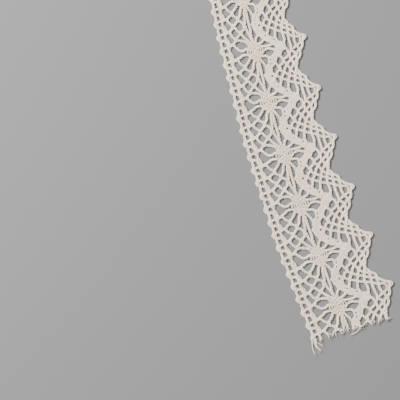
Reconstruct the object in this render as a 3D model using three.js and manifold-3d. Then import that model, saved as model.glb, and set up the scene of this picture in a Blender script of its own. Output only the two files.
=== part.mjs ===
// A cut length of cotton torchon lace edging, lying flat on its back in a slight sideways bend.
// Units are millimetres. +Z is up, the strip runs along Y and its pointed edge is on the +X side.
// The lace is drawn in its own two directions first: "along" runs down the strip from the plain cut
// end, and "across" runs from the small picots of the straight edge to the points of the other edge.

import * as THREE from 'three';
import { mergeVertices } from 'three/addons/utils/BufferGeometryUtils.js';
import Module from 'manifold-3d';

// Driving sizes
const REPEAT = 34.5;            // length of one pattern repeat
const REPEATS = 7;              // whole repeats in the cut length
const PAST_LAST_SPIDER = 14.3;  // from the last spider to the frayed cut, at the straight edge
const CUT_SLANT = 0.095;        // the frayed cut runs this much further for each millimetre across
const THICKNESS = 1.2;          // two crossed threads
const SPIDER_ACROSS = 23.7;     // the spiders sit on this line, which the strip bends and spreads about
const BEND_RADIUS = 1190;       // sideways bend of the strip
const SPREAD = { middle: 0.985, ends: 0.07 };   // width share at mid length, and its change to the ends
const FIRST_SPIDER = REPEAT / 2;
const LAST_SPIDER = FIRST_SPIDER + REPEAT * (REPEATS - 1);
const LENGTH = LAST_SPIDER + PAST_LAST_SPIDER;
const PLAN_CENTRE = { x: 9.49, y: -4.23 };   // middle of the finished outline, brought to the origin

// Straight edge: four picots to a repeat, each a low round bump on the rim
const RIM_ACROSS = 2.3;
const PICOTS = 4;
const PICOT = { first: -12.3, height: 2.3, before: 1.9, after: 3.4 };
const PICOT_STEPS = 5;

// Pointed edge of one repeat, measured along from its spider
const POINTED_EDGE = [
  { along: -16.1, across: 48.5 },
  { along: -13.6, across: 48.9 },
  { along: -12.0, across: 50.3 },
  { along: -9.9, across: 52.2 },
  { along: -9.2, across: 53.6 },
  { along: -7.9, across: 54.1 },
  { along: -6.9, across: 53.8 },
  { along: -3.8, across: 56.7 },
  { along: -2.4, across: 59.2 },
  { along: -0.9, across: 60.1 },
  { along: 0.9, across: 59.7 },
  { along: 2.7, across: 57.6 },
  { along: 5.4, across: 57.0 },
  { along: 7.2, across: 55.1 },
  { along: 10.0, across: 54.2 },
  { along: 12.8, across: 52.2 },
  { along: 15.4, across: 50.3 },
];

// Gaps of one repeat, measured from its spider. Turn is the angle of the long axis from the strip's
// length, positive towards the pointed edge; point narrows one end, the far one where it is positive.
const GAPS = [
  // beside the picots
  { along: -16.0, across: 4.4, long: 3.2, wide: 2.2, turn: 8, point: 0 },
  { along: -7.3, across: 4.5, long: 3.2, wide: 2.3, turn: 8, point: 0 },
  { along: 1.4, across: 4.6, long: 3.3, wide: 2.0, turn: 12, point: 0 },
  { along: 10.0, across: 4.5, long: 3.1, wide: 2.1, turn: 12, point: 0 },
  // ground, outer column
  { along: -18.5, across: 9.6, long: 7.0, wide: 3.1, turn: 32, point: 0 },
  { along: -10.1, across: 9.4, long: 6.2, wide: 2.9, turn: 24, point: 0 },
  { along: -1.1, across: 10.5, long: 6.6, wide: 4.3, turn: 26, point: 0.1 },
  { along: 8.0, across: 10.3, long: 6.2, wide: 3.8, turn: 40, point: 0 },
  // ground, middle column
  { along: -21.0, across: 13.6, long: 5.4, wide: 4.2, turn: 55, point: 0 },
  { along: -12.7, across: 13.2, long: 5.2, wide: 4.1, turn: 20, point: 0 },
  { along: -4.8, across: 14.8, long: 6.4, wide: 4.9, turn: 72, point: -0.25 },
  { along: 5.2, across: 14.7, long: 5.8, wide: 4.3, turn: -60, point: 0.3 },
  // ground, inner columns and the gaps between the spider's left legs
  { along: -16.2, across: 17.4, long: 5.4, wide: 4.3, turn: 5, point: 0 },
  { along: -8.7, across: 17.0, long: 4.4, wide: 1.7, turn: 50, point: 0.2 },
  { along: 8.9, across: 18.1, long: 6.0, wide: 3.0, turn: -14, point: 0 },
  { along: -10.9, across: 20.2, long: 4.7, wide: 2.6, turn: 12, point: 0 },
  { along: 13.4, across: 20.9, long: 6.4, wide: 1.8, turn: -5, point: 0 },
  // the slit between neighbouring spiders, and the gaps between the right legs
  { along: -16.0, across: 22.9, long: 9.6, wide: 1.1, turn: 2, point: 0 },
  { along: 13.3, across: 26.0, long: 7.6, wide: 2.0, turn: 2, point: 0 },
  { along: -9.6, across: 25.6, long: 4.5, wide: 2.5, turn: -4, point: 0 },
  { along: -6.0, across: 28.5, long: 3.6, wide: 2.6, turn: 66, point: 0 },
  { along: -1.8, across: 32.9, long: 4.4, wide: 1.1, turn: 74, point: 0 },
  { along: 4.0, across: 32.8, long: 6.3, wide: 2.8, turn: 76, point: 0 },
  { along: 8.9, across: 29.5, long: 5.2, wide: 2.3, turn: 6, point: 0 },
  // first row outside the cloth trail
  { along: -18.4, across: 33.5, long: 4.3, wide: 3.0, turn: -15, point: 0.2 },
  { along: -11.2, across: 34.0, long: 3.6, wide: 2.2, turn: 8, point: 0 },
  { along: -8.0, across: 37.6, long: 4.6, wide: 3.2, turn: 5, point: 0 },
  { along: -4.4, across: 42.4, long: 6.4, wide: 3.0, turn: 20, point: 0 },
  { along: 0.4, across: 46.7, long: 11.6, wide: 1.5, turn: 2, point: 0 },
  { along: 7.4, across: 42.6, long: 4.6, wide: 3.7, turn: -20, point: 0 },
  { along: 10.9, across: 37.9, long: 3.9, wide: 2.8, turn: -12, point: 0.2 },
  // second row
  { along: -15.1, across: 36.3, long: 3.1, wide: 2.6, turn: 0, point: 0 },
  { along: -12.6, across: 39.5, long: 3.0, wide: 2.5, turn: 45, point: 0 },
  { along: -9.9, across: 43.4, long: 3.0, wide: 2.2, turn: 35, point: 0 },
  { along: -7.7, across: 46.9, long: 3.1, wide: 1.9, turn: 52, point: 0 },
  { along: 0.6, across: 49.9, long: 6.9, wide: 2.1, turn: 4, point: 0 },
  { along: 11.6, across: 43.3, long: 3.2, wide: 2.3, turn: -58, point: 0 },
  // third row
  { along: -18.7, across: 39.0, long: 3.4, wide: 1.9, turn: -12, point: 0 },
  { along: -16.0, across: 41.8, long: 3.1, wide: 1.9, turn: 10, point: 0 },
  { along: 1.0, across: 53.7, long: 3.8, wide: 2.9, turn: 0, point: 0.3 },
];
const GAP_SIDES = { large: 8, small: 6, largeFrom: 4.2 };
const GAP_SQUARENESS = 2.6;     // exponent of the gap's superellipse

// Thread ends at the frayed cut, measured along from the last spider; lean is how far its tip
// has moved across
const FRAYED_ENDS = [
  { across: -0.6, from: 9.0, to: 23.2, lean: 1.6 },
  { across: 1.6, from: 11.5, to: 21.8, lean: 1.6 },
  { across: 4.6, from: 12.0, to: 16.0, lean: 0.4 },
  { across: 8.6, from: 12.5, to: 19.0, lean: 0.9 },
  { across: 13.8, from: 15.0, to: 18.4, lean: -0.7 },
  { across: 17.6, from: 12.0, to: 18.9, lean: 0.2 },
  { across: 21.6, from: 12.5, to: 18.0, lean: -0.3 },
  { across: 24.2, from: 12.0, to: 18.4, lean: 0.9 },
  { across: 28.9, from: 12.0, to: 18.2, lean: 1.4 },
  { across: 31.6, from: 12.0, to: 19.7, lean: 1.2 },
  { across: 37.2, from: 15.0, to: 20.0, lean: 0.4 },
  { across: 41.4, from: 15.5, to: 21.6, lean: 0.5 },
  { across: 45.8, from: 16.0, to: 20.6, lean: -0.2 },
  { across: 49.2, from: 16.0, to: 22.3, lean: 0.3 },
  { across: 49.2, from: 13.0, to: 19.6, lean: 2.8 },
];
const PLAIN_ENDS = { count: 14, first: 3.0, step: 3.3, from: 2.2, to: -1.1, ripple: 0.5, turn: 2.4 };
const END_WIDTH = 1.1;
const END_TAPER = 0.85;         // share of an end's length that keeps the full width

// Uneven tension, as a slow drift of the whole pattern: how far it goes and over what lengths
const DRIFT = { along: 0.45, across: 0.4 };
const DRIFT_OVER = { along: 11, across: 7, fade: 13, sideways: 17, wide: 19, long: 29 };

// The strip's own directions to the plan
function drift(along, across) {
  const ripple = Math.sin(along / DRIFT_OVER.along + across / DRIFT_OVER.across);
  const sway = Math.sin(along / DRIFT_OVER.sideways + 1);
  return {
    along: along + DRIFT.along * ripple * Math.sin(across / DRIFT_OVER.fade),
    across: across + DRIFT.across * sway * Math.cos(across / DRIFT_OVER.wide + along / DRIFT_OVER.long),
  };
}

function toPlan(along, across) {
  const at = drift(along, across);
  const spread = SPREAD.middle + SPREAD.ends * (2 * at.along / LENGTH - 1);
  const radius = BEND_RADIUS - (at.across - SPIDER_ACROSS) * spread;
  const angle = (at.along - LENGTH / 2) / BEND_RADIUS;
  return new THREE.Vector2(
    BEND_RADIUS - radius * Math.cos(angle) - PLAN_CENTRE.x,
    -radius * Math.sin(angle) - PLAN_CENTRE.y,
  );
}

// Outlines
function picotEdge() {
  const points = [];
  for (let k = -1; k <= REPEATS; k += 1) {
    for (let i = 0; i < PICOTS; i += 1) {
      const centre = FIRST_SPIDER + k * REPEAT + PICOT.first + i * REPEAT / PICOTS;
      for (let j = 0; j <= PICOT_STEPS; j += 1) {
        const t = -1 + 2 * j / PICOT_STEPS;
        const side = t < 0 ? PICOT.before : PICOT.after;
        const rise = PICOT.height * Math.sqrt(Math.max(0, 1 - t * t));
        points.push({ along: centre + side * t, across: RIM_ACROSS - rise });
      }
    }
  }
  return points;
}

function pointedEdge() {
  const points = [];
  for (let k = -1; k <= REPEATS; k += 1) {
    for (const p of POINTED_EDGE) {
      points.push({ along: FIRST_SPIDER + k * REPEAT + p.along, across: p.across });
    }
  }
  return points;
}

// A closed ring down one edge and back up the other, longer than the strip at both ends
function stripRing() {
  return [...picotEdge(), ...pointedEdge().reverse()];
}

function gapRing(gap, spiderAlong) {
  const turn = THREE.MathUtils.degToRad(gap.turn);
  const sides = gap.long < GAP_SIDES.largeFrom ? GAP_SIDES.small : GAP_SIDES.large;
  const power = 2 / GAP_SQUARENESS;
  const ring = [];
  for (let i = 0; i < sides; i += 1) {
    const a = 2 * Math.PI * (i + 0.5) / sides;
    const c = Math.sign(Math.cos(a)) * Math.abs(Math.cos(a)) ** power;
    const s = Math.sign(Math.sin(a)) * Math.abs(Math.sin(a)) ** power;
    const far = gap.long / 2 * c;
    const aside = gap.wide / 2 * s * (1 - gap.point * c);
    ring.push({
      along: spiderAlong + gap.along + far * Math.cos(turn) - aside * Math.sin(turn),
      across: gap.across + far * Math.sin(turn) + aside * Math.cos(turn),
    });
  }
  return ring;
}

// The stretch that is kept between the two cuts, wider than the strip
function keptRing() {
  const steps = 12;
  const outside = { from: -REPEAT, to: REPEAT * 3 };
  const ring = [];
  for (let i = 0; i <= steps; i += 1) {
    ring.push({ along: 0, across: outside.from + (outside.to - outside.from) * i / steps });
  }
  for (const p of [...ring].reverse()) {
    ring.push({ along: cutAt(p.across), across: p.across });
  }
  return ring;
}

function cutAt(across) {
  return LENGTH + CUT_SLANT * across;
}

// A thread end: a narrow tongue that starts inside the sheet and leans to one side
function endRing(end, along) {
  const half = END_WIDTH / 2;
  const reach = end.to - end.from;
  const at = (share, aside) => ({
    along: along + end.from + share * reach,
    across: end.across + aside + share * end.lean,
  });
  return [at(0, -half), at(0, half), at(END_TAPER, half), at(1, 0), at(END_TAPER, -half)];
}

// Solids
const wasm = await Module();
wasm.setup();
const PAST = 1;                 // a cutting solid reaches this far past both faces

function prism(ring, bottom, height) {
  const shape = new THREE.Shape(ring.map((p) => toPlan(p.along, p.across)));
  const geometry = new THREE.ExtrudeGeometry(shape, { depth: height, bevelEnabled: false });
  geometry.translate(0, 0, bottom);
  geometry.deleteAttribute('normal');
  geometry.deleteAttribute('uv');
  const merged = mergeVertices(geometry, 1e-4);
  return new wasm.Manifold(new wasm.Mesh({
    numProp: 3,
    vertProperties: merged.attributes.position.array,
    triVerts: new Uint32Array(merged.index.array),
  }));
}

function toGeometry(solid) {
  const mesh = solid.getMesh();
  const geometry = new THREE.BufferGeometry();
  geometry.setAttribute('position', new THREE.BufferAttribute(mesh.vertProperties, 3));
  geometry.setIndex(new THREE.BufferAttribute(mesh.triVerts, 1));
  geometry.computeVertexNormals();
  return geometry;
}

function clothSheet() {
  const whole = prism(stripRing(), 0, THICKNESS);
  const kept = prism(keptRing(), -PAST, THICKNESS + 2 * PAST);
  return whole.intersect(kept);
}

function allGaps() {
  const cuts = [];
  for (let k = 0; k <= REPEATS; k += 1) {
    const spiderAlong = FIRST_SPIDER + k * REPEAT;
    for (const gap of GAPS) {
      const centre = spiderAlong + gap.along;
      if (centre > gap.long / 4 && centre < cutAt(gap.across)) {
        cuts.push(prism(gapRing(gap, spiderAlong), -PAST, THICKNESS + 2 * PAST));
      }
    }
  }
  return wasm.Manifold.union(cuts);
}

function threadEnds() {
  const rings = FRAYED_ENDS.map((end) => endRing(end, LAST_SPIDER));
  for (let i = 0; i < PLAIN_ENDS.count; i += 1) {
    const to = PLAIN_ENDS.to - PLAIN_ENDS.ripple * Math.sin(i * PLAIN_ENDS.turn);
    const across = PLAIN_ENDS.first + PLAIN_ENDS.step * i;
    rings.push(endRing({ across, from: PLAIN_ENDS.from, to, lean: 0 }, 0).reverse());
  }
  return wasm.Manifold.union(rings.map((ring) => prism(ring, 0, THICKNESS)));
}

const cotton = new THREE.MeshStandardMaterial({ color: 0xe6dccb, roughness: 0.95, metalness: 0 });
const lace = new THREE.Mesh(toGeometry(clothSheet().subtract(allGaps()).add(threadEnds())), cotton);
lace.name = 'lace_trim';

const part = new THREE.Group();
part.add(lace);

export default part;
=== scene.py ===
"""A cut length of cotton bobbin lace, laid flat, worked thread by thread.

The pattern is a chart of pairs: where each pair of threads runs across one repeat. The script lays
the pairs out over the whole strip, holds them out of the gaps, twists each into its two threads,
finds every place where two threads cross, sends them over and under by turns, and sweeps each
thread as a thin tube. Lengths are in mm until they go into a mesh. Along is down the strip and
across is from the picot edge to the points.
"""

import math

import bpy
import numpy as np
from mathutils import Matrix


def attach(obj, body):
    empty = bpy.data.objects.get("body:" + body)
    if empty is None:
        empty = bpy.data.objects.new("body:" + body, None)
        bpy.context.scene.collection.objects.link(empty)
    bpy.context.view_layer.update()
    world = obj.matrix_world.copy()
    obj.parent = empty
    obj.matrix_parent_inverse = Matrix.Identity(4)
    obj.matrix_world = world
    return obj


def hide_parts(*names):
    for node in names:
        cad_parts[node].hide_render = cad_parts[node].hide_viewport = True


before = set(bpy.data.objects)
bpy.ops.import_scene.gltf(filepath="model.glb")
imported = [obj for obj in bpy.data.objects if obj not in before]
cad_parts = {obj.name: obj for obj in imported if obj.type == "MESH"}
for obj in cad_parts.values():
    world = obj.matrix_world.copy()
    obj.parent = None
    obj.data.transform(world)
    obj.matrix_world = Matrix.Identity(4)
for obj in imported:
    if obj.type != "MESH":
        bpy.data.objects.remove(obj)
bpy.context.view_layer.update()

MM = 0.001
DRAW = np.random.default_rng(7)

# The strip, with the same sizes as the solid
REPEAT = 34.5
FIRST_SPIDER = 17.25
LAST_SPIDER = 224.25
LENGTH = 238.55
CUT_SLANT = 0.095
SPIDER_ACROSS = 23.7
BEND_RADIUS = 1190.0
SPREAD_MIDDLE = 0.985
SPREAD_ENDS = 0.07
PLAN_CENTRE = (9.49, -4.23)
MID_HEIGHT = 0.6

# The unevenness of hand work: how far it moves the chart, and over what lengths it comes and goes
DRIFT_ALONG = 0.45
DRIFT_ACROSS = 0.4
RIPPLE_LENGTHS = (11, 7, 13)
SWAY_LENGTHS = (17, 19, 29)

# The thread, and how much it swells where nothing presses it, from the pins to the free stretches
THREAD_HALF_WIDE = 0.32
THREAD_HALF_HIGH = 0.26
PIN_SWELL = 0.42
FREE_SWELL = 0.15
FREE_FROM = 0.5
FREE_OVER = 0.8
FAR = 9.0

# How far each thread lies from the middle of its pair: in cloth, at pins and in free stretches
CLOTH_HALF = 0.31
PIN_HALF = 0.42
PAIR_HALF = 0.5

# The twist between two crossings: the length of half a turn, and how evenly it goes
HALF_TWIST = 1.85
LEAST_TWIST = 0.6
TWIST_EASE = 0.35
NODE_REACH = 0.75

# How finely curves are sampled, and tubes in steps of those samples
SAMPLE = 0.25
FINE_STEPS = 12
FEWEST_SAMPLES = 6
MOST_STEP = 1.8
LEAST_STEP = 0.8
TINY = 1e-6

# The grid on which crossings are looked for
CELL = 0.6
CELL_SHIFT = 2000
CELL_ROW = 100000
NEIGHBOURS = 3
PARALLEL = 1e-12

# The frayed cut: how far the loose ends reach past it, as (across, reach)
FRAY = (
    (0.0, 8.8),
    (3.2, 8.2),
    (4.2, 1.6),
    (8.6, 3.6),
    (13.8, 2.9),
    (17.6, 2.8),
    (21.6, 1.9),
    (28.9, 1.4),
    (31.6, 2.4),
    (37.2, 2.3),
    (41.4, 3.3),
    (45.8, 2.1),
    (49.2, 3.2),
    (56.0, 2.2),
)
END_NEAR_CUT = 0.7
DROOP_OVER = 4.0
DROOP_LIFT = 0.04

# Each loose end: how far its length, bend and waviness vary, how it thins out, and how the ends
# beside the picots lean
TAIL_REACHES = (0.6, 1.1)
TAIL_LOOKS_BACK = 6
TAIL_HEADING = 0.5
TAIL_BEND = 0.4
TAIL_WAVE = 0.15
TAIL_WAVE_TURN = 5
TAIL_WAVE_START = 6
TAIL_FEWEST_STEPS = 4
TAIL_THINS_AT = (0, 0.6, 1)
TAIL_SWELLS = (1.4, 1.4, 1.1)
EDGE_TAIL_ACROSS = 3.5
EDGE_TAIL_LEAN = 0.3

# The fluff at each loose end
FIBRES_AN_END = 10
FIBRE_SHARE = 0.13
FIBRE_REACH = (0.4, 1.3)
FIBRE_STARTS_BACK = 0.6
FIBRE_LEAN = 0.7
FIBRE_LEAN_SHARES = (1, 1, 0.5)
FIBRE_CURL = 0.6
FIBRE_CURL_SHARES = (1, 1, 0.4)
FIBRE_POINTS = 6
FIBRE_HEIGHTS = (0.06, 1.5)

# How far the threads differ from each other, in tone and in thickness
TONE_VARIES = (0, 1)
THREAD_VARIES = (0.96, 1.04)

# How far the pairs run before and after the repeats that show
REPEATS_BEFORE = -3
REPEATS_AFTER = 9


# The way from the chart to the plan of the strip


def drift(along, across):
    """The small unevenness of hand work, which leaves the pattern slightly off its chart."""
    long, short, fade = RIPPLE_LENGTHS
    ripple = np.sin(along / long + across / short)
    moved_along = along + DRIFT_ALONG * ripple * np.sin(across / fade)
    long, short, fade = SWAY_LENGTHS
    sway = np.sin(along / long + 1)
    moved_across = across + DRIFT_ACROSS * sway * np.cos(across / short + along / fade)
    return moved_along, moved_across


def to_plan(along, across):
    """Chart to plan, on the gentle bend in which the strip lies."""
    along, across = drift(along, across)
    spread = SPREAD_MIDDLE + SPREAD_ENDS * (2 * along / LENGTH - 1)
    radius = BEND_RADIUS - (across - SPIDER_ACROSS) * spread
    angle = (along - LENGTH / 2) / BEND_RADIUS
    x = BEND_RADIUS - radius * np.cos(angle) - PLAN_CENTRE[0]
    y = -radius * np.sin(angle) - PLAN_CENTRE[1]
    return x, y


def cut_at(across):
    """Where the frayed cut runs."""
    return LENGTH + CUT_SLANT * across


# The chart of one repeat: u is mm down from the spider's centre, v is mm across from the picots

# Ground pins, each a small braid of two pairs that runs down the strip
PIN = {
    "KD": (17.0, 20.9),
    "KA": (22.5, 17.4),
    "KB": (25.7, 13.2),
    "ED": (13.5, 17.5),
    "EA": (17.7, 13.3),
    "DD": (9.6, 14.5),
}
# Pins beside the picot edge, where the braid runs across the strip
EDGE_PIN = {
    "CD": (3.8, 9.4),
    "DA": (12.1, 9.3),
    "EB": (20.3, 9.3),
    "KC": (28.6, 9.3),
}
BRAID_STEP = 0.72
BRAID_SIDE = 0.68
BRAID_ENTRY = (1.9, 1.1)
EDGE_BRAID_ENTRY = (0.8, 1.75)


def through(pin, side, later=0.0):
    """A pair's way through a ground pin: across, back and across again. Side 1 heads right."""
    if pin in EDGE_PIN:
        u, v = EDGE_PIN[pin]
        return [
            (u + later - EDGE_BRAID_ENTRY[0], v - side * EDGE_BRAID_ENTRY[1]),
            (u + later + BRAID_SIDE, v - side * BRAID_STEP),
            (u + later - BRAID_SIDE, v + side * BRAID_STEP),
            (u + later + EDGE_BRAID_ENTRY[0], v + side * EDGE_BRAID_ENTRY[1]),
        ]
    u, v = PIN[pin]
    return [
        (u + later - BRAID_ENTRY[0], v - side * BRAID_ENTRY[1]),
        (u + later - BRAID_STEP, v + side * BRAID_SIDE),
        (u + later + BRAID_STEP, v - side * BRAID_SIDE),
        (u + later + BRAID_ENTRY[0], v + side * BRAID_ENTRY[1]),
    ]


def picot_turn(out, tip, back, later=0.0):
    """A pair's way out through the edge, round a picot and back in."""
    out, tip, back = out + later, tip + later, back + later
    return [
        (out + 0.1, 6.4),
        (out, 4.4),
        (tip - 0.8, 2.6),
        (tip - 0.7, 1.4),
        (tip, 0.75),
        (tip + 0.8, 1.2),
        (tip + 1.8, 1.9),
        (back - 0.5, 2.9),
        (back + 0.1, 4.4),
        (back + 1.2, 6.2),
        (back + 2.2, 7.2),
    ]


# The spider: four pairs from each side cross, turn and cross back
SPIDER_CENTRE = (0.8, 23.8)
SPIDER_PAIRS = 4
SPIDER_SIDE_STEP = 1.52
SPIDER_DOWN_STEP = 1.06
SPIDER_TOP = -6.4
SPIDER_BOW = 0.37
SPIDER_HALF_LONG = 7.6
SPIDER_HALF_WIDE = 6.9
SPIDER_EDGE = 1.15
SPIDER_EDGE_SOFT = 0.15


def spider(order, side, later=0.0):
    """The way through a spider of the pair that comes in order-th from the top on one side."""
    upper = []
    for other in range(SPIDER_PAIRS):
        sideways = (other - order) * SPIDER_SIDE_STEP
        down = SPIDER_TOP + (order + other) * SPIDER_DOWN_STEP + SPIDER_BOW * abs(sideways)
        upper.append((down, SPIDER_CENTRE[1] + side * sideways))
    turn = side * (SPIDER_PAIRS - 0.5 - order) * SPIDER_SIDE_STEP
    lower = [(2 * SPIDER_CENTRE[0] - u, v) for u, v in reversed(upper)]
    way = upper + [(SPIDER_CENTRE[0], SPIDER_CENTRE[1] + turn)] + lower
    return [(u + later, v) for u, v in way]


def shifted(points, later):
    """The same points a number of mm further down the strip."""
    return [(u + later, v) for u, v in points]


# Left of the spiders, from one spider's leg out to a picot and back to a later spider
LEFT_SHORT = (
    [(2.5, 19.2), (2.0, 17.4), (2.2, 15.2), (2.8, 13.0)]
    + through("CD", -1)
    + picot_turn(4.1, 5.2, 8.2)
    + through("DA", 1)
    + [(14.6, 11.6)]
    + through("EA", 1)
    + through("KA", 1)
    + [(25.9, 19.4), (27.9, 20.9)]
)
LEFT_MIDDLE = (
    [(4.2, 19.6), (5.2, 17.9), (6.8, 16.4)]
    + through("DD", -1)
    + through("DA", -1)
    + picot_turn(12.2, 13.4, 16.3)
    + through("EB", 1)
    + [(22.6, 11.1)]
    + through("KB", 1)
    + [(27.0, 16.8), (28.0, 18.5), (29.6, 20.1)]
)
LEFT_LONG = (
    [(7.3, 21.3), (8.7, 20.4), (10.5, 19.6)]
    + through("ED", -1)
    + through("EA", -1)
    + through("EB", -1)
    + picot_turn(20.8, 22.0, 24.8)
    + through("KC", 1)
    + [(31.8, 12.6), (33.4, 14.3), (33.3, 16.6), (32.4, 18.7)]
)
LEFT_AXIS = (
    [(9.7, 22.9), (11.6, 22.4), (13.4, 22.4)]
    + through("KD", -1)
    + through("KA", -1)
    + through("KB", -1)
    + through("KC", -1)
    + picot_turn(29.7, 31.0, 34.1)
    + through("CD", 1, REPEAT)
    + [(41.1, 12.1)]
    + through("DD", 1, REPEAT)
    + through("ED", 1, REPEAT)
    + through("KD", 1, REPEAT)
    + [(55.8, 22.4), (58.5, 22.8), (60.8, 23.1)]
)
RIGHT_AXIS = [(9.8, 24.7), (12.0, 24.4), (16.5, 24.1), (21.5, 24.1), (24.0, 24.0), (26.3, 24.3)]

# The cloth trail: its centre line and its width, by distance down the repeat
TRAIL_CENTRE = (
    (-17.0, 28.6),
    (-14.0, 29.0),
    (-11.0, 29.9),
    (-8.5, 31.3),
    (-6.0, 33.2),
    (-3.6, 35.9),
    (-1.4, 38.6),
    (1.6, 41.6),
    (4.3, 39.9),
    (7.6, 36.0),
    (10.8, 32.7),
    (13.0, 30.9),
    (15.5, 29.4),
    (17.5, 28.6),
)
TRAIL_WIDTH = (
    (-17.0, 6.7),
    (-14.0, 6.3),
    (-11.0, 5.9),
    (-8.5, 5.9),
    (-6.0, 6.0),
    (-3.6, 6.2),
    (-1.4, 6.6),
    (1.6, 8.0),
    (4.3, 7.4),
    (7.6, 7.6),
    (10.8, 7.0),
    (13.0, 6.6),
    (15.5, 6.7),
    (17.5, 6.7),
)
# Shares of the trail's width: where its straight pairs run, and where the worker pair crosses
# them and turns back
TRAIL_ROWS = 22
TRAIL_PASSIVES = (-0.37, -0.125, 0.125, 0.37)
WORKER_ACROSS = (-0.36, -0.12, 0.12, 0.36)
WORKER_TURN = 0.485

# Right of the spiders: each line leaves the trail, goes round a point and comes back a repeat later
HEAD_FIRST = [
    (8.2, 26.3),
    (10.2, 27.3),
    (12.2, 28.0),
    (14.3, 29.0),
    (16.6, 30.6),
    (18.3, 32.2),
    (20.2, 34.0),
    (21.9, 35.6),
    (23.7, 38.8),
    (25.3, 41.0),
    (26.4, 42.8),
    (27.5, 44.8),
    (28.5, 46.6),
    (29.3, 48.4),
    (31.2, 50.5),
    (32.0, 52.0),
    (32.7, 53.5),
    (33.3, 55.2),
    (34.4, 55.9),
    (35.7, 55.8),
    (37.0, 54.8),
    (38.5, 52.2),
    (39.4, 50.2),
    (40.5, 47.8),
    (41.9, 46.4),
    (43.6, 44.4),
    (45.4, 41.2),
    (48.2, 39.6),
    (50.8, 37.6),
    (52.6, 35.4),
    (54.9, 33.0),
    (57.5, 30.7),
    (59.5, 28.9),
    (61.6, 27.1),
]
HEAD_SECOND = [
    (5.7, 28.2),
    (6.9, 30.3),
    (8.3, 32.4),
    (10.4, 34.2),
    (12.7, 35.5),
    (15.8, 37.0),
    (18.6, 38.3),
    (20.4, 40.8),
    (22.6, 43.7),
    (25.1, 47.3),
    (27.4, 50.9),
    (29.0, 52.6),
    (30.2, 54.2),
    (31.6, 55.8),
    (32.6, 57.1),
    (33.4, 58.2),
    (34.3, 58.5),
    (35.2, 58.0),
    (36.0, 57.0),
    (37.2, 56.3),
    (38.8, 56.1),
    (40.2, 55.2),
    (41.3, 53.9),
    (42.5, 52.4),
    (44.8, 49.5),
    (45.9, 46.6),
    (47.2, 44.2),
    (49.5, 41.9),
    (51.7, 40.3),
    (55.1, 37.9),
    (57.1, 36.5),
    (59.4, 35.3),
    (61.5, 34.1),
    (63.2, 32.4),
    (64.7, 30.5),
    (65.6, 28.6),
]
HEAD_THIRD = [
    (2.4, 29.4),
    (1.5, 31.5),
    (1.6, 33.5),
    (2.4, 35.5),
    (4.0, 37.2),
    (6.3, 38.7),
    (8.9, 40.1),
    (11.2, 41.2),
    (14.6, 42.7),
    (18.1, 44.1),
    (20.2, 45.6),
    (22.2, 46.9),
    (23.7, 49.5),
    (25.1, 51.3),
    (26.9, 52.4),
    (29.4, 52.5),
    (32.0, 52.0),
    (33.8, 51.5),
    (36.9, 51.7),
    (38.5, 52.2),
    (40.3, 53.1),
    (42.5, 53.5),
    (44.8, 52.6),
    (46.4, 51.3),
    (47.8, 49.8),
    (49.2, 47.6),
    (50.4, 45.7),
    (52.6, 44.4),
    (54.6, 43.2),
    (57.8, 41.6),
    (60.7, 40.3),
    (63.2, 39.6),
    (65.8, 38.4),
    (67.8, 36.6),
    (68.7, 34.0),
    (68.7, 31.5),
    (68.0, 29.6),
]
HEAD_FOURTH = [
    (1.5, 38.8),
    (2.4, 42.0),
    (4.6, 45.2),
    (6.7, 45.7),
    (8.3, 45.9),
    (10.5, 45.9),
    (12.5, 46.3),
    (14.5, 47.2),
    (16.5, 47.8),
    (18.5, 48.2),
    (20.8, 49.0),
    (22.8, 50.0),
    (25.1, 49.4),
    (28.0, 48.8),
    (29.3, 48.4),
    (31.6, 48.3),
    (35.2, 48.1),
    (38.3, 48.3),
    (40.5, 47.8),
    (42.2, 49.5),
    (45.2, 50.3),
    (48.2, 49.9),
    (51.0, 48.9),
    (53.8, 47.7),
    (56.4, 46.6),
    (58.7, 45.6),
    (61.6, 44.9),
    (63.8, 45.0),
    (67.2, 45.1),
    (69.4, 43.6),
]
RIM = [
    (-16.3, 47.9),
    (-14.4, 48.9),
    (-12.6, 49.4),
    (-10.7, 51.3),
    (-9.0, 52.0),
    (-7.4, 53.3),
    (-5.7, 53.6),
    (-4.1, 55.2),
    (-2.9, 56.2),
    (-2.1, 57.6),
    (-1.6, 58.9),
    (-0.6, 59.8),
    (0.5, 59.6),
    (1.1, 58.5),
    (1.6, 57.2),
    (2.8, 56.6),
    (4.6, 56.5),
    (5.9, 55.2),
    (7.0, 54.6),
    (8.6, 53.4),
    (10.6, 52.7),
    (12.4, 51.0),
    (14.4, 49.9),
    (16.2, 48.4),
]

# Straight pairs along the picot edge: how far across they run, and how far past both ends
EDGE_LINES = (6.3, 8.1, 3.0)
EDGE_LINE_ENDS = (-20.0, 40.0)
EDGE_LINE_STEP = 6.0
# One more pair fills the foot of each picot
PICOT_TIPS = (5.2, 13.4, 22.0, 31.0)
PICOT_FOOT = 1.6
BESIDE_PICOT = 3.4
# A loose end at the frayed cut, which has slipped aside: (along from the last spider, across)
SLIPPED_END = (
    (15.9, 32.2),
    (18.4, 31.3),
    (20.0, 29.6),
    (20.7, 27.2),
    (20.9, 24.4),
)

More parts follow.
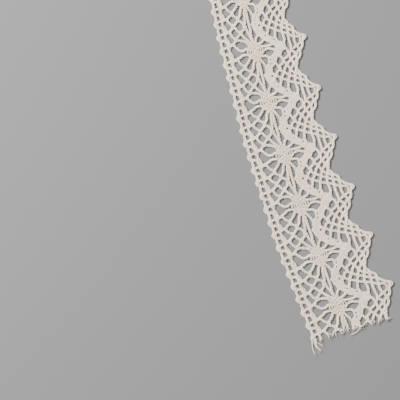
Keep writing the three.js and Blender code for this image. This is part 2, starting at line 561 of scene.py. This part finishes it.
# The gaps of one repeat, which pins and tension hold open, nearly as they are cut in the solid:
# along from the spider, across, long, wide, turn of the long side in degrees, narrowing at its end
GAPS = (
    (-16.0, 4.4, 3.2, 2.2, 24, 0),
    (-7.3, 4.5, 3.2, 2.3, 24, 0),
    (1.4, 4.6, 3.3, 2.0, 24, 0),
    (10.0, 4.5, 3.1, 2.1, 24, 0),
    (-18.5, 9.6, 7.0, 3.1, 32, 0),
    (-10.1, 9.4, 6.2, 2.9, 24, 0),
    (-1.1, 10.5, 6.6, 4.3, 26, 0.1),
    (8.0, 10.3, 6.2, 3.8, 40, 0),
    (-21.0, 13.6, 5.4, 4.2, 55, 0),
    (-12.7, 13.2, 5.2, 4.1, 20, 0),
    (-4.8, 14.8, 6.4, 4.9, 72, -0.25),
    (5.2, 14.7, 5.8, 4.3, -60, 0.3),
    (-16.2, 17.4, 5.4, 4.3, 5, 0),
    (-8.7, 17.0, 4.2, 2.6, 50, 0.2),
    (8.9, 18.1, 6.0, 3.0, -14, 0),
    (-10.9, 20.2, 4.7, 2.6, 12, 0),
    (13.4, 20.9, 6.4, 1.8, -5, 0),
    (-16.0, 22.9, 9.6, 1.1, 2, 0),
    (13.3, 26.0, 7.6, 2.0, 2, 0),
    (-9.6, 25.6, 4.5, 2.5, -4, 0),
    (-6.0, 28.5, 3.6, 2.6, 66, 0),
    (-1.8, 32.9, 4.4, 1.1, 74, 0),
    (4.0, 32.8, 6.3, 2.8, 76, 0),
    (8.9, 29.5, 5.2, 2.3, 6, 0),
    (-18.4, 33.5, 4.3, 3.0, -15, 0.2),
    (-11.2, 34.0, 3.6, 2.2, 8, 0),
    (-8.0, 37.6, 4.6, 3.2, 5, 0),
    (-4.4, 42.4, 6.4, 3.0, 20, 0),
    (0.4, 46.7, 11.6, 1.5, 2, 0),
    (7.4, 42.6, 4.6, 3.7, -20, 0),
    (10.9, 37.9, 3.9, 2.8, -12, 0.2),
    (-15.1, 36.3, 3.1, 2.6, 0, 0),
    (-12.6, 39.5, 3.0, 2.5, 45, 0),
    (-9.9, 43.4, 3.0, 2.2, 35, 0),
    (-7.7, 46.9, 3.1, 1.9, 52, 0),
    (0.6, 49.9, 6.9, 2.1, 4, 0),
    (11.6, 43.3, 3.2, 2.3, -58, 0),
    (-18.7, 39.0, 3.4, 1.9, -12, 0),
    (-16.0, 41.8, 3.1, 1.9, 10, 0),
    (1.0, 53.7, 3.8, 2.9, 0, 0.3),
)
# The gaps that are too small for the solid: beside the picots, in the head, and the trail's pinholes
SMALL_GAPS = (
    (-11.9, 4.4, 2.1, 1.9, 0, 0),
    (-2.9, 5.1, 3.0, 1.7, 40, 0),
    (6.4, 4.9, 2.6, 1.6, 35, 0),
    (14.0, 4.5, 2.1, 1.6, 0, 0),
    (-16.0, 45.9, 2.6, 1.0, 0, 0),
    (-13.2, 44.4, 2.2, 1.4, 35, 0),
    (-10.6, 47.6, 2.2, 1.3, 35, 0),
    (-8.8, 50.9, 3.2, 1.2, 35, 0),
    (-5.2, 50.7, 3.6, 1.5, 25, 0),
    (-3.7, 53.4, 1.9, 0.9, 25, 0),
    (-0.3, 57.1, 1.0, 1.0, 0, 0),
    (4.7, 54.6, 2.6, 1.3, -35, 0),
    (6.8, 51.3, 2.4, 1.6, -35, 0),
    (9.0, 47.5, 3.4, 1.4, -15, 0),
    (10.2, 51.7, 3.0, 1.2, -25, 0),
    (12.4, 48.3, 2.4, 1.3, -30, 0),
    (15.4, 45.1, 2.5, 1.7, -20, 0),
    (-14.8, 30.9, 1.1, 1.7, 0, 0),
    (-7.2, 33.2, 0.9, 1.2, 0, 0),
    (-3.3, 38.3, 0.9, 1.5, 0, 0),
    (1.7, 36.1, 2.6, 0.7, 75, 0),
    (8.9, 32.4, 1.7, 1.0, 0, 0),
    (11.6, 31.7, 1.1, 0.9, 0, 0),
)
GAP_SQUARENESS = 2.6
# How far outside a gap the middle of a pair is held, and how this is done, step by step
TWISTED_MARGIN = 0.76
CLOTH_MARGIN = 0.62
HOLD_ROUNDS = 14
HOLD_SHARE = 0.35


# Laying the chart out as paths of pairs


def chained(pieces, reach):
    """Pieces of chart joined end to end, repeated down the strip. Each is a function of its start."""
    points = []
    start = 0.0
    while start < reach:
        for make, length in pieces:
            points += make(start)
            start += length
    return points


def run(pieces, first):
    """One pair's points down the whole strip, from a repeat before the top of it."""
    reach = (REPEATS_AFTER - REPEATS_BEFORE) * REPEAT
    base = FIRST_SPIDER + (REPEATS_BEFORE + first) * REPEAT
    return [(base + u, v) for u, v in chained(pieces, reach)]


def leg(points, order, side, length):
    """A stretch of chart, then the spider that it comes to."""

    def make(start):
        return shifted(points, start) + spider(order, side, start + length)

    return make, length


def plain(points, length):
    """A stretch of chart that passes no spider."""

    def make(start):
        return shifted(points, start)

    return make, length


def trail_way(share, later):
    """Points down the cloth trail at a share of its width from its centre line."""
    way = []
    for (u, centre), (_, width) in list(zip(TRAIL_CENTRE, TRAIL_WIDTH))[:-1]:
        way.append((u + later, centre + share * width))
    return way


def trail_place(u, share):
    """The place across the trail at any distance down the repeat."""
    wrapped = (u - TRAIL_CENTRE[0][0]) % REPEAT + TRAIL_CENTRE[0][0]
    centre = np.interp(wrapped, *zip(*TRAIL_CENTRE))
    width = np.interp(wrapped, *zip(*TRAIL_WIDTH))
    return float(centre + share * width)


def worker_points():
    """The worker pair goes to and fro across the trail, one row after another."""
    step = REPEAT / TRAIL_ROWS
    side = 1
    points = []
    down = REPEATS_BEFORE * REPEAT
    while down < REPEATS_AFTER * REPEAT:
        for share in WORKER_ACROSS:
            points.append((down, side * share))
        points.append((down + step / 2, side * WORKER_TURN))
        side = -side
        down += step
    return [(FIRST_SPIDER + u, trail_place(u, share)) for u, share in points]


def all_pairs():
    """Every pair: its points down the strip and whether it is twisted where it runs alone."""
    two = 2 * REPEAT
    one = REPEAT
    pairs = []
    for first in (0, 1):
        # The short way in goes to the second leg, and the long way to the fourth
        pairs.append((run([leg(LEFT_SHORT, 1, 1, one), leg(LEFT_LONG, 3, 1, one)], first), True))
        pairs.append((run([leg(LEFT_AXIS, 0, 1, two)], first), True))
        pairs.append((run([leg(HEAD_FIRST, 1, -1, two)], first), True))
        pairs.append((run([leg(HEAD_SECOND, 2, -1, two)], first), True))
        pairs.append((run([leg(HEAD_THIRD, 3, -1, two)], first), True))
        pairs.append((run([plain(HEAD_FOURTH, two)], first), True))
    pairs.append((run([leg(LEFT_MIDDLE, 2, 1, one)], 0), True))
    pairs.append((run([leg(RIGHT_AXIS, 0, -1, one)], 0), True))
    pairs.append((run([plain(RIM, one)], 0), False))
    pairs.append((worker_points(), False))
    for share in TRAIL_PASSIVES:
        pairs.append((run([(lambda start, s=share: trail_way(s, start), one)], 0), False))
    stretch = np.arange(EDGE_LINE_ENDS[0], LENGTH + EDGE_LINE_ENDS[1], EDGE_LINE_STEP)
    for across in EDGE_LINES:
        pairs.append(([(s, across) for s in stretch], False))
    foot = []
    for tip in PICOT_TIPS:
        foot += [(tip, PICOT_FOOT), (tip + REPEAT / 8, BESIDE_PICOT)]
    pairs.append((run([plain(foot, one)], 0), True))
    return pairs


# Curves through points


def smooth(points, step=SAMPLE):
    """A smooth curve through the points, evenly sampled."""
    p = np.array(points, float)
    gap = np.hypot(*np.diff(p, axis=0).T)
    p = p[np.concatenate([[True], gap > TINY])]
    gap = gap[gap > TINY]
    knots = np.concatenate([[0], np.cumsum(np.sqrt(gap))])
    slope = np.empty_like(p)
    rise = np.diff(p, axis=0) / np.diff(knots)[:, None]
    width = np.diff(knots)
    slope[1:-1] = (rise[:-1] * width[1:, None] + rise[1:] * width[:-1, None]) / (
        width[1:] + width[:-1]
    )[:, None]
    slope[0], slope[-1] = rise[0], rise[-1]
    parts = []
    fine = np.linspace(0, 1, FINE_STEPS, endpoint=False)[:, None]
    for i in range(len(p) - 1):
        w = width[i]
        a = (1 + 2 * fine) * (1 - fine) ** 2
        b = fine * (1 - fine) ** 2 * w
        c = fine**2 * (3 - 2 * fine)
        d = fine**2 * (fine - 1) * w
        parts.append(a * p[i] + b * slope[i] + c * p[i + 1] + d * slope[i + 1])
    curve = np.vstack(parts + [p[-1:]])
    return evenly(curve, step)


def lengths_along(curve):
    """The distance along a curve at each of its points."""
    gaps = np.sqrt((np.diff(curve, axis=0) ** 2).sum(axis=1))
    return np.concatenate([[0], np.cumsum(gaps)])


def at_lengths(curve, wanted, along=None):
    """Points on a curve at the distances wanted."""
    if along is None:
        along = lengths_along(curve)
    return np.column_stack([np.interp(wanted, along, curve[:, i]) for i in range(curve.shape[1])])


def evenly(curve, step):
    """A curve sampled again in even steps."""
    along = lengths_along(curve)
    count = max(2, int(round(along[-1] / step)) + 1)
    return at_lengths(curve, np.linspace(0, along[-1], count), along)


def normals(curve):
    """The direction across a plane curve at each point."""
    way = np.gradient(curve, axis=0)
    way /= np.hypot(way[:, 0], way[:, 1])[:, None]
    return np.column_stack([-way[:, 1], way[:, 0]])


def held_open(curve, margin):
    """A path pushed aside, little by little, out of each gap that it cuts into."""
    curve = curve.copy()
    for _ in range(HOLD_ROUNDS):
        push = np.zeros_like(curve)
        for along, across, long, wide, turn, narrowing in GAPS + SMALL_GAPS:
            down = curve[:, 0] - FIRST_SPIDER - along
            down = (down + REPEAT / 2) % REPEAT - REPEAT / 2
            aside = curve[:, 1] - across
            c, s = math.cos(math.radians(turn)), math.sin(math.radians(turn))
            half_long = long / 2 + margin
            far = (down * c + aside * s) / half_long
            half_wide = (wide / 2) * (1 - narrowing * np.clip(far, -1, 1)) + margin
            off = (aside * c - down * s) / half_wide
            out = (np.abs(far) ** GAP_SQUARENESS + np.abs(off) ** GAP_SQUARENESS) ** (1 / GAP_SQUARENESS)
            steep = GAP_SQUARENESS - 1
            way_far = np.sign(far) * np.abs(far) ** steep / half_long
            way_off = np.sign(off) * np.abs(off) ** steep / half_wide
            size = np.hypot(way_far, way_off) + 1e-9
            amount = HOLD_SHARE * np.clip(1 - out, 0, 1) * half_wide / size
            push[:, 0] += amount * (way_far * c - way_off * s)
            push[:, 1] += amount * (way_far * s + way_off * c)
        curve += push
        curve[1:-1] = (curve[:-2] + 2 * curve[1:-1] + curve[2:]) / 4
    return evenly(curve, SAMPLE)


def clipped(curve):
    """The parts of a path that lie on the strip."""
    inside = (curve[:, 0] >= 0) & (curve[:, 0] <= cut_at(curve[:, 1]))
    edges = np.flatnonzero(np.diff(inside.astype(int)))
    parts = np.split(np.arange(len(curve)), edges + 1)
    return [curve[part] for part in parts if inside[part[0]] and len(part) > FEWEST_SAMPLES]


# Where paths cross


def crossings(curves):
    """Each crossing of two paths: first path, place on it, second path, place on it."""
    starts, ends, owner, index = [], [], [], []
    for number, curve in enumerate(curves):
        starts.append(curve[:-1, :2])
        ends.append(curve[1:, :2])
        owner.append(np.full(len(curve) - 1, number))
        index.append(np.arange(len(curve) - 1))
    start, end = np.vstack(starts), np.vstack(ends)
    owner, index = np.concatenate(owner), np.concatenate(index)
    middle = (start + end) / 2
    square = np.floor(middle / CELL).astype(np.int64) + CELL_SHIFT
    key = square[:, 0] * CELL_ROW + square[:, 1]
    order = np.argsort(key, kind="stable")
    sorted_key = key[order]
    found = []
    for right, down in ((0, 0), (1, 0), (0, 1), (1, 1), (1, -1)):
        wanted = key + right * CELL_ROW + down
        low = np.searchsorted(sorted_key, wanted, "left")
        high = np.searchsorted(sorted_key, wanted, "right")
        count = high - low
        first = np.repeat(np.arange(len(key)), count)
        offset = np.arange(count.sum()) - np.repeat(np.cumsum(count) - count, count)
        second = order[np.repeat(low, count) + offset]
        keep = first != second
        if (right, down) == (0, 0):
            keep = first < second
        near = (owner[first] == owner[second]) & (np.abs(index[first] - index[second]) < NEIGHBOURS)
        keep &= ~near
        found.append(np.column_stack([first[keep], second[keep]]))
    first, second = np.vstack(found).T
    r = end[first] - start[first]
    s = end[second] - start[second]
    gap = start[second] - start[first]
    cross = r[:, 0] * s[:, 1] - r[:, 1] * s[:, 0]
    safe = np.where(np.abs(cross) < PARALLEL, PARALLEL, cross)
    t = (gap[:, 0] * s[:, 1] - gap[:, 1] * s[:, 0]) / safe
    w = (gap[:, 0] * r[:, 1] - gap[:, 1] * r[:, 0]) / safe
    hit = (t >= 0) & (t < 1) & (w >= 0) & (w < 1) & (np.abs(cross) > PARALLEL)
    first, second, t, w = first[hit], second[hit], t[hit], w[hit]
    return owner[first], index[first] + t, owner[second], index[second] + w


# From pairs to threads


def twist_phase(along, nodes, twisted):
    """The turn of a pair at each place: still where it meets another, twisted between."""
    phase = np.zeros(len(along))
    stops = np.concatenate([[along[0] - NODE_REACH], np.sort(nodes), [along[-1] + NODE_REACH]])
    if not twisted:
        return phase
    for before, after in zip(stops[:-1], stops[1:]):
        low, high = before + NODE_REACH, after - NODE_REACH
        free = high - low
        halves = int(round(free / HALF_TWIST)) if free > LEAST_TWIST * HALF_TWIST else 0
        if halves:
            share = np.clip((along - low) / free, 0, 1)
            slowed = share - TWIST_EASE * np.sin(2 * math.pi * share) / (2 * math.pi)
            phase += np.where(along > low, slowed * halves * math.pi, 0)
    return phase


def threads_of(pairs):
    """Both threads of every pair, in the chart, with how much each is swollen along its way."""
    curves, twisted = [], []
    for points, is_twisted in pairs:
        margin = TWISTED_MARGIN if is_twisted else CLOTH_MARGIN
        for part in clipped(held_open(smooth(points), margin)):
            curves.append(part)
            twisted.append(is_twisted)
    a, at_a, b, at_b = crossings(curves)
    threads, swells = [], []
    for number, curve in enumerate(curves):
        along = lengths_along(curve)
        met = np.concatenate([at_a[a == number], at_b[b == number]])
        nodes = np.interp(met, np.arange(len(curve)), along)
        phase = twist_phase(along, nodes, twisted[number])
        near = np.abs(along[:, None] - nodes[None, :]).min(axis=1, initial=FAR)
        slack = twisted[number] * (1 - in_spider(curve))
        free = np.clip((near - FREE_FROM) / FREE_OVER, 0, 1) * slack
        half = CLOTH_HALF + (PIN_HALF - CLOTH_HALF) * slack + (PAIR_HALF - PIN_HALF) * free
        side = normals(curve) * (half * np.cos(phase))[:, None]
        full = 1 + PIN_SWELL * slack + FREE_SWELL * free
        for thread in (curve + side, curve - side):
            thread, swell = loose_end(thread, full)
            threads.append(thread)
            swells.append(swell)
    slipped = smooth([(LAST_SPIDER + u, v) for u, v in SLIPPED_END])
    threads.append(slipped)
    swells.append(np.full(len(slipped), 1 + PIN_SWELL))
    return threads, swells


def in_spider(curve):
    """1 in a spider's body, where the threads lie tight, and 0 outside it."""
    down = (curve[:, 0] - FIRST_SPIDER - SPIDER_CENTRE[0] + REPEAT / 2) % REPEAT - REPEAT / 2
    aside = curve[:, 1] - SPIDER_CENTRE[1]
    out = np.abs(down) / SPIDER_HALF_LONG + np.abs(aside) / SPIDER_HALF_WIDE
    return np.clip((SPIDER_EDGE - out) / SPIDER_EDGE_SOFT, 0, 1)


def loose_end(thread, swell):
    """A thread's end past the frayed cut, where it leans off on its own and thins out."""
    tip = thread[-1]
    if cut_at(tip[1]) - tip[0] > END_NEAR_CUT:
        return thread, swell
    way = tip - thread[-TAIL_LOOKS_BACK]
    heading = TAIL_HEADING * math.atan2(way[1], abs(way[0]))
    reach = np.interp(tip[1], *zip(*FRAY)) * DRAW.uniform(*TAIL_REACHES)
    steps = max(TAIL_FEWEST_STEPS, int(reach / SAMPLE))
    share = np.linspace(0, 1, steps)
    bend = DRAW.normal(0, TAIL_BEND) + EDGE_TAIL_LEAN * (tip[1] < EDGE_TAIL_ACROSS)
    wave = TAIL_WAVE * np.sin(DRAW.uniform(0, TAIL_WAVE_START) + TAIL_WAVE_TURN * share)
    heading = heading + bend * share + wave
    moves = SAMPLE * np.column_stack([np.cos(heading), np.sin(heading)])
    tail = tip + np.cumsum(moves, axis=0)
    thinning = np.interp(share, TAIL_THINS_AT, TAIL_SWELLS)
    return np.vstack([thread, tail]), np.concatenate([swell, thinning])


# Over and under


def over_and_under(threads):
    """Heights at every crossing, over and under by turns along each thread."""
    a, at_a, b, at_b = crossings(threads)
    count = len(a)
    visits = [[] for _ in threads]
    for i in range(count):
        visits[a[i]].append((at_a[i], i, 0))
        visits[b[i]].append((at_b[i], i, 1))
    links = []
    for met in visits:
        met.sort()
        for (p, i, role_i), (q, j, role_j) in zip(met[:-1], met[1:]):
            if i != j:
                # By turns: if the thread is over at one crossing, it is under at the next
                links.append((q - p, i, j, 1 ^ role_i ^ role_j))
    links.sort()
    parent = list(range(count))
    parity = [0] * count

    def root(i):
        """The crossing that i is counted from, with the way there cut short."""
        way = []
        while parent[i] != i:
            way.append(i)
            i = parent[i]
        for j in reversed(way):
            parity[j] ^= parity[parent[j]] if parent[j] != i else 0
            parent[j] = i
        return i

    # The shortest stretches between crossings are settled first
    for _, i, j, odd in links:
        root_i, root_j = root(i), root(j)
        if root_i != root_j:
            parent[root_i] = root_j
            parity[root_i] = parity[i] ^ parity[j] ^ odd
    for i in range(count):
        root(i)
    heights = []
    for met in visits:
        places = [p for p, _, _ in met]
        levels = [1.0 if parity[i] ^ role else -1.0 for _, i, role in met]
        heights.append((np.array(places), np.array(levels)))
    return heights


def eased(places, levels, wanted):
    """Heights between crossings, eased from one to the next."""
    if len(places) == 0:
        return np.zeros(len(wanted))
    slot = np.clip(np.searchsorted(places, wanted) - 1, 0, max(0, len(places) - 2))
    if len(places) == 1:
        return np.full(len(wanted), levels[0]) * np.exp(-np.abs(wanted - places[0]))
    low, high = places[slot], places[slot + 1]
    share = np.clip((wanted - low) / np.maximum(high - low, 1e-9), 0, 1)
    bend = (1 - np.cos(math.pi * share)) / 2
    return levels[slot] + (levels[slot + 1] - levels[slot]) * bend


def thread_curves():
    """Every thread as points in the plan with heights, the distance down the strip and the swell."""
    threads, swells = threads_of(all_pairs())
    heights = over_and_under(threads)
    curves = []
    for thread, swell, (places, levels) in zip(threads, swells, heights):
        last = len(thread) - 1
        # Rings of the tube go at the crossings, half way between them, and along long stretches
        even = np.linspace(0, last, max(2, int(last / MOST_STEP) + 1))
        halves = (places[:-1] + places[1:]) / 2
        wanted = np.sort(np.concatenate([even, places, halves]))
        keep = [0]
        for i in range(1, len(wanted)):
            if wanted[i] - wanted[keep[-1]] > LEAST_STEP:
                keep.append(i)
        wanted = wanted[keep]
        flat = at_lengths(thread, wanted, np.arange(len(thread)))
        x, y = to_plan(flat[:, 0], flat[:, 1])
        lift = MID_HEIGHT + THREAD_HALF_HIGH * eased(places, levels, wanted)
        past = np.clip((flat[:, 0] - cut_at(flat[:, 1])) / DROOP_OVER, 0, 1)
        z = lift + (THREAD_HALF_HIGH + DROOP_LIFT - lift) * past * past
        here = np.interp(wanted, np.arange(len(thread)), swell)
        curves.append((np.column_stack([x, y, z]), flat[:, 0], here))
    return curves


# Tubes


SIDES = 6
FLOOR_GAP = 0.01
FOLDED_STEP = 0.02
NUDGE = (1e-4, 0, 0)


def tube_rings(curve, swell):
    """Rings of points round a curve that lies nearly flat."""
    way = np.gradient(curve, axis=0)
    onward = np.vstack([np.diff(curve, axis=0), curve[-1:] - curve[-2:-1]])
    folded = np.hypot(way[:, 0], way[:, 1]) < FOLDED_STEP
    way[folded] = onward[folded] + NUDGE
    way /= np.linalg.norm(way, axis=1)[:, None]
    side = np.cross([0.0, 0.0, 1.0], way)
    side /= np.linalg.norm(side, axis=1)[:, None]
    top = np.cross(way, side)
    turn = (np.arange(SIDES) * 2 * math.pi / SIDES)[None, :, None]
    swell = np.reshape(swell, (-1, 1, 1))
    # A swollen thread spreads more than it rises
    wide = THREAD_HALF_WIDE * swell * np.cos(turn) * side[:, None, :]
    high = THREAD_HALF_HIGH * np.sqrt(swell) * np.sin(turn) * top[:, None, :]
    rings = curve[:, None, :] + wide + high
    rings[:, :, 2] = np.maximum(rings[:, :, 2], FLOOR_GAP)
    return rings


class TubeMesh:
    """Gathers tubes for one mesh."""

    def __init__(self):
        self.points, self.faces, self.uvs, self.tones = [], [], [], []
        self.count = 0

    def add(self, rings, along, tone):
        """One tube: its sides, its two ends, its place on the thread and its tone."""
        n = len(rings)
        first = self.count
        self.points.append(rings.reshape(-1, 3))
        self.tones.append(np.full(n * SIDES, tone))
        self.count += n * SIDES
        i = np.arange(n - 1)[:, None]
        j = np.arange(SIDES)[None, :]
        k = (j + 1) % SIDES
        near, far = i * SIDES, (i + 1) * SIDES
        quad = np.stack([near + j, near + k, far + k, far + j], axis=-1)
        self.faces += (quad.reshape(-1, 4) + first).tolist()
        u0 = np.broadcast_to(j / SIDES, (n - 1, SIDES))
        u1 = u0 + 1 / SIDES
        v0 = np.broadcast_to(along[:-1, None], (n - 1, SIDES))
        v1 = np.broadcast_to(along[1:, None], (n - 1, SIDES))
        corners = [np.stack(corner, -1) for corner in ((u0, v0), (u1, v0), (u1, v1), (u0, v1))]
        self.uvs.append(np.stack(corners, axis=2).reshape(-1, 2))
        # The two ends are closed
        for start, back in ((0, True), (n - 1, False)):
            cap = [first + start * SIDES + s for s in range(SIDES)]
            if back:
                cap.reverse()
            self.faces.append(cap)
            self.uvs.append(np.tile([[0.5, along[start]]], (SIDES, 1)))

    def build(self, name):
        """The mesh of all the tubes, as an object in the scene."""
        mesh = bpy.data.meshes.new(name)
        points = np.vstack(self.points) * MM
        mesh.from_pydata(points.tolist(), [], self.faces)
        layer = mesh.uv_layers.new(name="thread")
        layer.data.foreach_set("uv", np.vstack(self.uvs).ravel())
        tone = mesh.attributes.new("tone", "FLOAT", "POINT")
        tone.data.foreach_set("value", np.concatenate(self.tones))
        mesh.shade_smooth()
        piece = bpy.data.objects.new(name, mesh)
        bpy.context.collection.objects.link(piece)
        return piece


# Materials

COTTON_SURFACE = {
    "Roughness": 0.85,
    "Sheen Weight": 0.25,
    "Sheen Roughness": 0.5,
    "Specular IOR Level": 0.25,
}
COTTON_DARK = (0.67, 0.55, 0.43, 1)
COTTON_LIGHT = (0.90, 0.77, 0.635, 1)
TONE_RANGE = (0.2, 0.8)
CLOUD_SCALE = 90.0
CLOUD_DETAIL = 4.0
# Between these heights the painted shade goes from the first share to the second
SHADE_HEIGHTS = (0.1, 1.0)
SHADE_SHARES = (0.66, 1.0)
PLY_SCALE = 0.9
PLY_DISTORTION = 0.6
PLY_STRENGTH = 0.5
PLY_DEPTH = 0.08
FLOOR_GREY = (0.16, 0.16, 0.16, 1)
FLOOR_ROUGHNESS = 0.9


def cotton_material():
    """Unbleached cotton thread: matt, with a ply twist, small changes of tone, and painted shade that
    darkens low threads and undersides.
    """
    material = bpy.data.materials.new("cotton_thread")
    material.use_nodes = True
    nodes, links = material.node_tree.nodes, material.node_tree.links
    shader = nodes["Principled BSDF"]
    for socket, value in COTTON_SURFACE.items():
        shader.inputs[socket].default_value = value

    tone = nodes.new("ShaderNodeAttribute")
    tone.attribute_name = "tone"
    place = nodes.new("ShaderNodeTexCoord")
    cloudy = nodes.new("ShaderNodeTexNoise")
    cloudy.inputs["Scale"].default_value = CLOUD_SCALE
    cloudy.inputs["Detail"].default_value = CLOUD_DETAIL
    links.new(place.outputs["Object"], cloudy.inputs["Vector"])
    both = nodes.new("ShaderNodeMath")
    both.operation = "ADD"
    links.new(tone.outputs["Fac"], both.inputs[0])
    links.new(cloudy.outputs["Fac"], both.inputs[1])
    half = nodes.new("ShaderNodeMath")
    half.operation = "MULTIPLY"
    half.inputs[1].default_value = 0.5
    links.new(both.outputs[0], half.inputs[0])
    ramp = nodes.new("ShaderNodeValToRGB")
    for stop, position, colour in zip(ramp.color_ramp.elements, TONE_RANGE, (COTTON_DARK, COTTON_LIGHT)):
        stop.position = position
        stop.color = colour
    links.new(half.outputs[0], ramp.inputs["Fac"])

    # Painted shade: threads that lie low, and the undersides, are painted darker than the tops
    split = nodes.new("ShaderNodeSeparateXYZ")
    links.new(place.outputs["Object"], split.inputs[0])
    shade_by_height = nodes.new("ShaderNodeMapRange")
    shade_by_height.inputs["From Min"].default_value = SHADE_HEIGHTS[0] * MM
    shade_by_height.inputs["From Max"].default_value = SHADE_HEIGHTS[1] * MM
    shade_by_height.inputs["To Min"].default_value = SHADE_SHARES[0]
    shade_by_height.inputs["To Max"].default_value = SHADE_SHARES[1]
    links.new(split.outputs["Z"], shade_by_height.inputs["Value"])
    # The painted shade is multiplied into the thread's colour
    painted_shade = nodes.new("ShaderNodeMix")
    painted_shade.data_type = "RGBA"
    painted_shade.blend_type = "MULTIPLY"
    painted_shade.inputs["Factor"].default_value = 1.0
    links.new(ramp.outputs["Color"], painted_shade.inputs["A"])
    links.new(shade_by_height.outputs["Result"], painted_shade.inputs["B"])
    links.new(painted_shade.outputs["Result"], shader.inputs["Base Color"])

    uv = nodes.new("ShaderNodeUVMap")
    uv.uv_map = "thread"
    ply = nodes.new("ShaderNodeTexWave")
    ply.wave_type = "BANDS"
    ply.bands_direction = "DIAGONAL"
    ply.inputs["Scale"].default_value = PLY_SCALE
    ply.inputs["Distortion"].default_value = PLY_DISTORTION
    links.new(uv.outputs["UV"], ply.inputs["Vector"])
    bump = nodes.new("ShaderNodeBump")
    bump.inputs["Strength"].default_value = PLY_STRENGTH
    bump.inputs["Distance"].default_value = PLY_DEPTH * MM
    links.new(ply.outputs["Fac"], bump.inputs["Height"])
    links.new(bump.outputs["Normal"], shader.inputs["Normal"])
    return material


def floor_material():
    """A plain pale floor."""
    material = bpy.data.materials.new("floor")
    material.use_nodes = True
    shader = material.node_tree.nodes["Principled BSDF"]
    shader.inputs["Base Color"].default_value = FLOOR_GREY
    shader.inputs["Roughness"].default_value = FLOOR_ROUGHNESS
    return material


# Camera, floor and light

# The photo's middle on the plan, its turn in degrees and how much it takes in
PHOTO_LOOKS_AT = (-69.54, -10.11)
PHOTO_TURN = -17.235
PHOTO_WIDE = 256.8
LENS = 85.0
SENSOR = 36.0
# In metres
CLIP = (0.01, 20.0)
FLOOR_REACH = 3.0
# Place and size in metres, and power in watts
LAMPS = {
    "lamp_left": ((-0.95, 0.95, 0.85), 0.45, 92),
    "lamp_right": ((0.9, -0.3, 1.1), 0.8, 9),
}
WORLD_STRENGTH = 0.35


def make_camera():
    """Straight down, as the photograph looks at the strip."""
    data = bpy.data.cameras.new("camera")
    data.lens = LENS
    data.sensor_width = SENSOR
    camera = bpy.data.objects.new("camera", data)
    bpy.context.collection.objects.link(camera)
    height = PHOTO_WIDE * LENS / SENSOR + MID_HEIGHT
    camera.location = (PHOTO_LOOKS_AT[0] * MM, PHOTO_LOOKS_AT[1] * MM, height * MM)
    camera.rotation_euler = (0, 0, math.radians(PHOTO_TURN))
    data.clip_start, data.clip_end = CLIP
    bpy.context.scene.camera = camera


def make_floor():
    """A wide flat floor under the strip."""
    mesh = bpy.data.meshes.new("floor")
    reach = FLOOR_REACH
    corners = [(-reach, -reach, 0), (reach, -reach, 0), (reach, reach, 0), (-reach, reach, 0)]
    mesh.from_pydata(corners, [], [(0, 1, 2, 3)])
    floor = bpy.data.objects.new("floor", mesh)
    bpy.context.collection.objects.link(floor)
    mesh.materials.append(floor_material())


def make_light(name, place, size, power):
    """A square lamp that looks at the middle of the strip."""
    data = bpy.data.lights.new(name, "AREA")
    data.size = size
    data.energy = power
    lamp = bpy.data.objects.new(name, data)
    bpy.context.collection.objects.link(lamp)
    lamp.location = place
    x, y, z = place
    lamp.rotation_euler = (math.atan2(math.hypot(x, y), z), 0, math.atan2(y, x) + math.pi / 2)


def make_world():
    """An even grey surround."""
    world = bpy.data.worlds.new("world")
    world.use_nodes = True
    background = world.node_tree.nodes["Background"]
    background.inputs["Color"].default_value = (1, 1, 1, 1)
    background.inputs["Strength"].default_value = WORLD_STRENGTH
    bpy.context.scene.world = world


# The lace, in stretches that together are one strip. The last takes in all that is past the cut

STRETCH_ENDS = (0.0, 60.0, 120.0, 180.0, 400.0)


def fibres_at(curve):
    """The fluff at a frayed end: fine fibres that spread from the tip."""
    way = curve[-1] - curve[-3]
    way /= np.linalg.norm(way)
    fibres = []
    for _ in range(FIBRES_AN_END):
        start = curve[-1] - way * DRAW.uniform(0, FIBRE_STARTS_BACK)
        lean = DRAW.normal(0, FIBRE_LEAN, 3) * FIBRE_LEAN_SHARES
        reach = DRAW.uniform(*FIBRE_REACH)
        share = np.linspace(0, 1, FIBRE_POINTS)[:, None]
        curl = DRAW.normal(0, FIBRE_CURL, 3) * FIBRE_CURL_SHARES
        points = start + reach * (share * (way + lean) + share**2 * curl)
        points[:, 2] = np.clip(points[:, 2], *FIBRE_HEIGHTS)
        fibres.append(points)
    return fibres


def build_lace():
    """One mesh a stretch, cut at the same rings, so that the stretches meet with no gap."""
    meshes = [TubeMesh() for _ in STRETCH_ENDS[:-1]]
    for curve, down, swell in thread_curves():
        tone = DRAW.uniform(*TONE_VARIES)
        rings = tube_rings(curve, swell * DRAW.uniform(*THREAD_VARIES))
        along = lengths_along(curve)
        which = np.clip(np.digitize(down, STRETCH_ENDS) - 1, 0, len(meshes) - 1)
        breaks = np.flatnonzero(np.diff(which)) + 1
        parts = np.split(np.arange(len(curve)), breaks)
        for i, part in enumerate(parts):
            number = which[part[0]]
            if i + 1 < len(parts):
                part = np.append(part, parts[i + 1][0])
            if len(part) > 1:
                meshes[number].add(rings[part], along[part], tone)
        if down[-1] > LENGTH:
            for fibre in fibres_at(curve):
                fine = tube_rings(fibre, np.linspace(FIBRE_SHARE, FIBRE_SHARE / 2, len(fibre)))
                meshes[-1].add(fine, lengths_along(fibre), tone)
    return [mesh.build(f"lace_stretch_{i + 1}") for i, mesh in enumerate(meshes)]


make_camera()
make_floor()
for lamp_name, (lamp_place, lamp_size, lamp_power) in LAMPS.items():
    make_light(lamp_name, lamp_place, lamp_size, lamp_power)
make_world()

cotton = cotton_material()
for piece, low, high in zip(build_lace(), STRETCH_ENDS[:-1], STRETCH_ENDS[1:]):
    piece.data.materials.append(cotton)
    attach(piece, "root")
    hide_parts("lace_trim")
